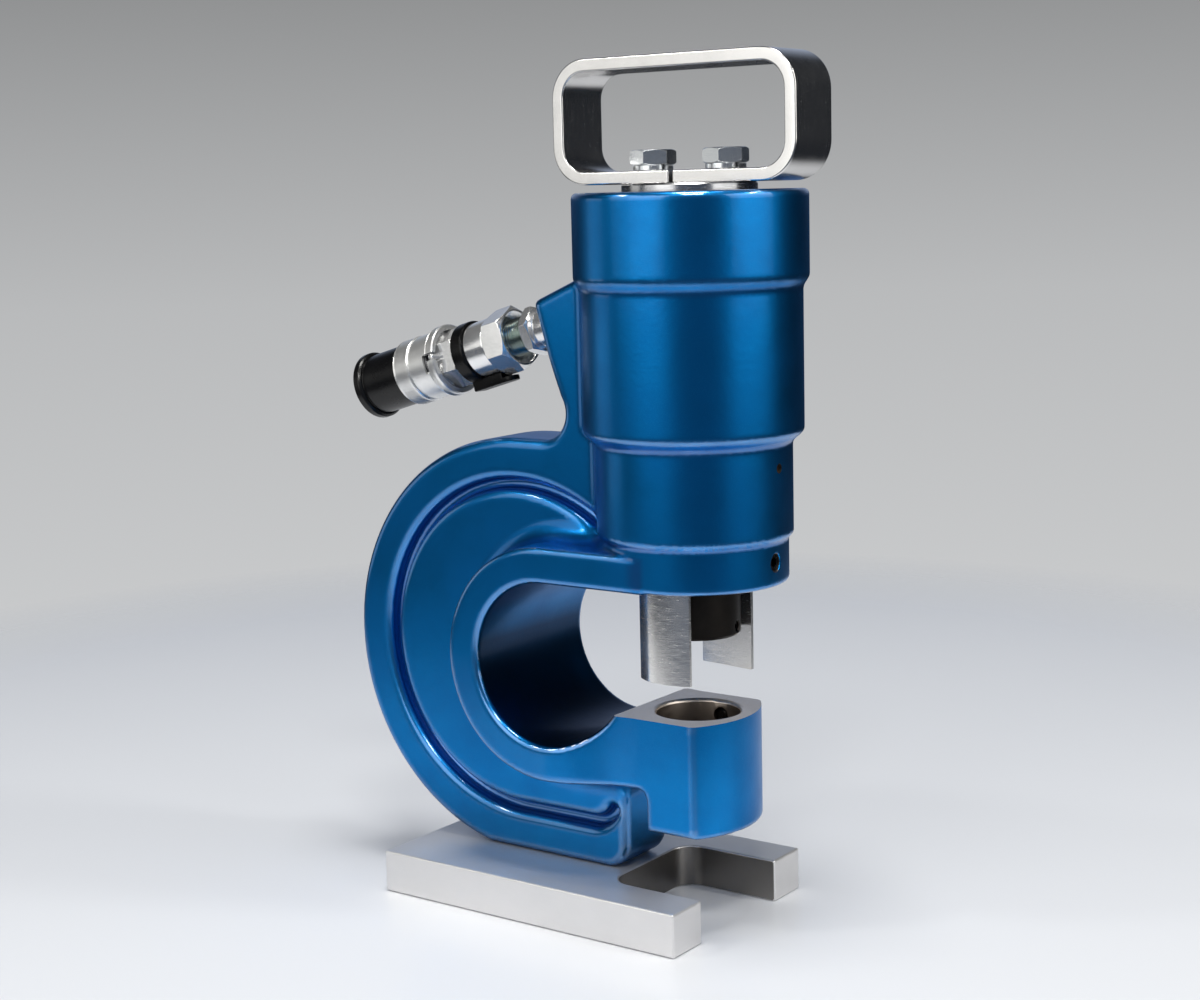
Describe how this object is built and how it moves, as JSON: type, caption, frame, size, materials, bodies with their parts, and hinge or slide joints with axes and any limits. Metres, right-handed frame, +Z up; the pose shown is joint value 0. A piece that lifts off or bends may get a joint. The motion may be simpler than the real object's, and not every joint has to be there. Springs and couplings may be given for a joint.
{
  "type": "hydraulic hole punch",
  "caption": "Free-standing C-frame hydraulic hole punch: cast frame with a spring-return ram, stripper and die seat, carry handle, quick coupler and flat base plate.",
  "frame": {"origin": "centre of the base plate's underside", "axes": "+Z up along the punch axis, +X towards the jaw's nose and the open side of the throat, +Y across the base plate"},
  "size_m": [0.2712, 0.114, 0.4105],
  "materials": {
    "blue_paint": "metallic blue gloss paint on cast steel",
    "plate_steel": "ground plate, satin",
    "bright_steel": "brushed bright steel",
    "zinc": "bright zinc plating",
    "turned_steel": "fine turned steel",
    "black_steel": "black oxide",
    "spring_steel": "oiled spring steel",
    "bronze": "bearing bronze",
    "black_rubber": "smooth black rubber",
    "seal_rubber": "seal rubber",
    "wear_resin": "filled resin"
  },
  "bodies": {
    "frame": {"base_plate": "plate_steel", "base_screws": "black_steel", "frame_casting": "blue_paint", "end_cap": "turned_steel", "end_cap_seal": "seal_rubber", "handle_strap": "bright_steel", "handle_bolts": "zinc", "handle_washers": "zinc", "rod_bush": "bronze", "rod_wiper": "seal_rubber", "stripper": "bright_steel", "stripper_screw": "black_steel", "vent_filter": "bronze", "die_screw": "black_steel", "return_spring": "spring_steel", "inlet_nipple": "zinc", "nipple_seal": "seal_rubber", "coupler_body": "zinc", "poppet_spring": "spring_steel", "socket_seal": "seal_rubber", "sleeve_spring": "spring_steel", "lock_balls": "turned_steel", "lock_pin": "zinc", "sleeve_snap_ring": "spring_steel", "keeper_ring": "black_rubber"},
    "ram": {"ram": "black_steel", "piston": "turned_steel", "piston_screw": "black_steel", "piston_seal": "seal_rubber", "piston_wear_band": "wear_resin", "punch_screw": "black_steel"},
    "sleeve": {"locking_sleeve": "zinc"},
    "poppet": {"coupler_poppet": "turned_steel"},
    "dust_cap": {"dust_cap": "black_rubber"}
  },
  "joints": [
    {"name": "ram_stroke", "type": "slide", "parent": "frame", "child": "ram", "axis": [0, 0, -1], "range_m": [0, 0.025], "stiffness_N_per_m": 8000, "springref_m": -0.03, "deforming": ["return_spring"]},
    {"name": "sleeve_slide", "type": "slide", "parent": "frame", "child": "sleeve", "axis": [0.9608, 0, 0.2773], "range_m": [0, 0.0045], "stiffness_N_per_m": 2000, "springref_m": -0.004, "deforming": ["sleeve_spring"]},
    {"name": "poppet_travel", "type": "slide", "parent": "frame", "child": "poppet", "axis": [0.9608, 0, 0.2773], "range_m": [0, 0.004], "stiffness_N_per_m": 3000, "springref_m": -0.003, "deforming": ["poppet_spring"]},
    {"name": "cap_pull", "type": "slide", "parent": "frame", "child": "dust_cap", "axis": [-0.9608, 0, -0.2773], "range_m": [0, 0.045]}
  ]
}
